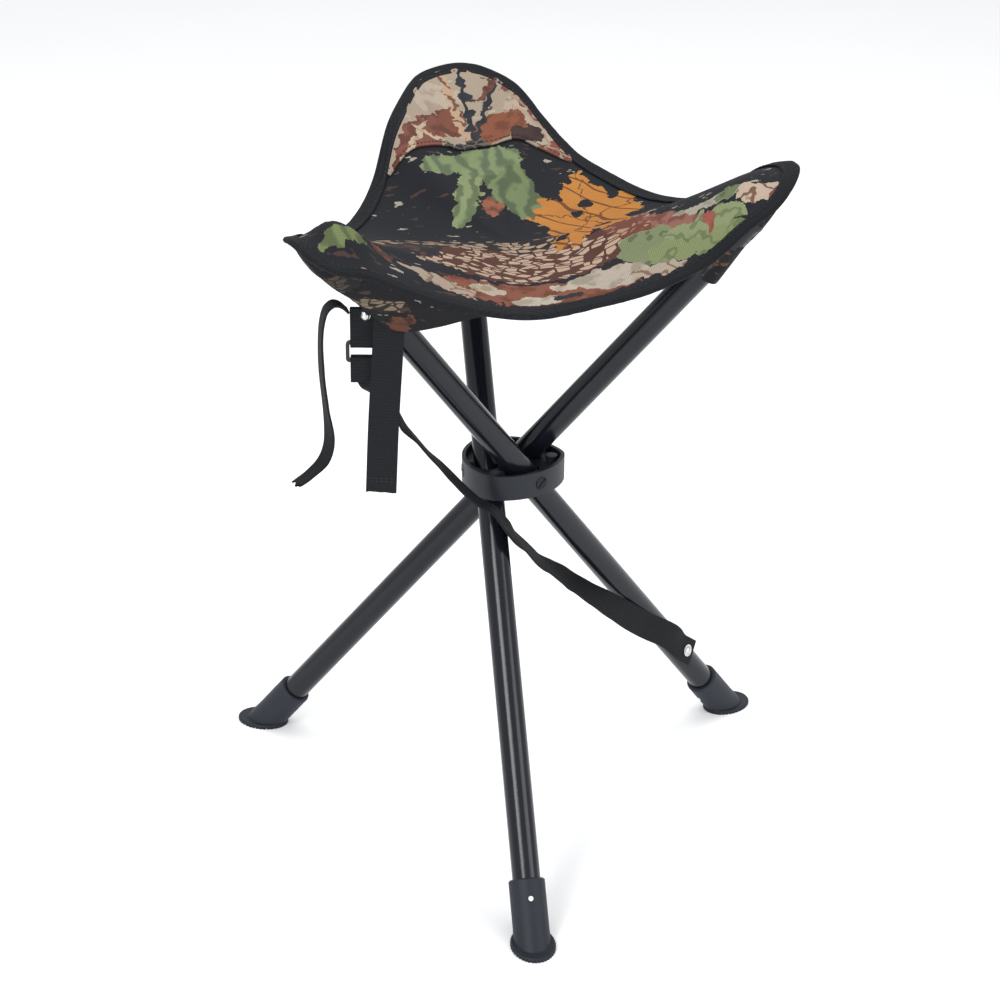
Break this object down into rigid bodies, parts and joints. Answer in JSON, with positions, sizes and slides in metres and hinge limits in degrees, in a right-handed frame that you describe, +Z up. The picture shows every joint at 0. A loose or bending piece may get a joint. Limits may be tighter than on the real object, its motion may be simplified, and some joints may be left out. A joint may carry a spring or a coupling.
{
  "type": "folding tripod camp stool",
  "caption": "Low folding stool: steel tube legs cross in a moulded hub and carry a triangular cloth seat; a webbing strap hangs along one leg.",
  "frame": {"origin": "on the floor under the hub's axis, at the middle of the three feet's turning pattern", "axes": "+Z up along the hub's axis; +Y the way leg c's upper end leans, the rear corner of the seat; +X to the right seen from leg c's foot"},
  "size_m": [0.3994, 0.4168, 0.4963],
  "materials": {
    "hub_nylon": "moulded black nylon, satin",
    "zinc_steel": "dark zinc-plated steel",
    "printed_oxford": "coated woven polyester with a woodland leaf print in browns, greens and rust",
    "binding_tape": "black woven binding tape",
    "black_tube_paint": "gloss black powder coat on steel tube",
    "plug_plastic": "moulded black polyethylene",
    "boot_rubber": "matte moulded rubber, charcoal",
    "boot_pin_nylon": "off-white nylon",
    "pocket_oxford": "coated woven polyester, dark side of the print",
    "black_webbing": "black polypropylene webbing",
    "rivet_nickel": "nickel-plated rivet",
    "ring_black": "black-coated steel wire"
  },
  "bodies": {
    "hub": {"hub_body": "hub_nylon", "pivot_pins": "zinc_steel", "pivot_washers": "zinc_steel", "seat_panel": "printed_oxford", "seat_corner_panel": "printed_oxford", "edge_binding_front": "binding_tape", "edge_binding_right": "binding_tape", "edge_binding_left": "binding_tape"},
    "leg_a": {"leg_tube_a": "black_tube_paint", "tube_plug_a": "plug_plastic", "foot_boot_a": "boot_rubber", "boot_pin_a": "boot_pin_nylon", "corner_pocket_a": "pocket_oxford", "strap_tab": "black_webbing", "strap_rivet": "rivet_nickel", "strap_ring": "ring_black", "carry_strap": "black_webbing", "lower_rivet": "rivet_nickel", "lower_washer": "rivet_nickel", "strap_tail": "black_webbing", "closure_strap": "black_webbing"},
    "leg_b": {"leg_tube_b": "black_tube_paint", "tube_plug_b": "plug_plastic", "foot_boot_b": "boot_rubber", "boot_pin_b": "boot_pin_nylon", "corner_pocket_b": "pocket_oxford"},
    "leg_c": {"leg_tube_c": "black_tube_paint", "tube_plug_c": "plug_plastic", "foot_boot_c": "boot_rubber", "boot_pin_c": "boot_pin_nylon", "corner_pocket_c": "pocket_oxford"}
  },
  "joints": [
    {"name": "fold_a", "type": "hinge", "parent": "hub", "child": "leg_a", "pos_m": [0.008, -0.01386, 0.256], "axis": [-0.5, 0.866, 0], "range_deg": [0, 36], "deforming": ["seat_panel", "seat_corner_panel", "edge_binding_front", "edge_binding_right", "edge_binding_left"]},
    {"name": "fold_b", "type": "hinge", "parent": "hub", "child": "leg_b", "pos_m": [0.008, 0.01386, 0.256], "axis": [-0.5, -0.866, 0], "range_deg": [0, 36]},
    {"name": "fold_c", "type": "hinge", "parent": "hub", "child": "leg_c", "pos_m": [-0.016, 0, 0.256], "axis": [1, 0, 0], "range_deg": [0, 36]}
  ],
  "couplings": [
    {"joint": "fold_b", "follows": "fold_a", "ratio": 1},
    {"joint": "fold_c", "follows": "fold_a", "ratio": 1}
  ]
}
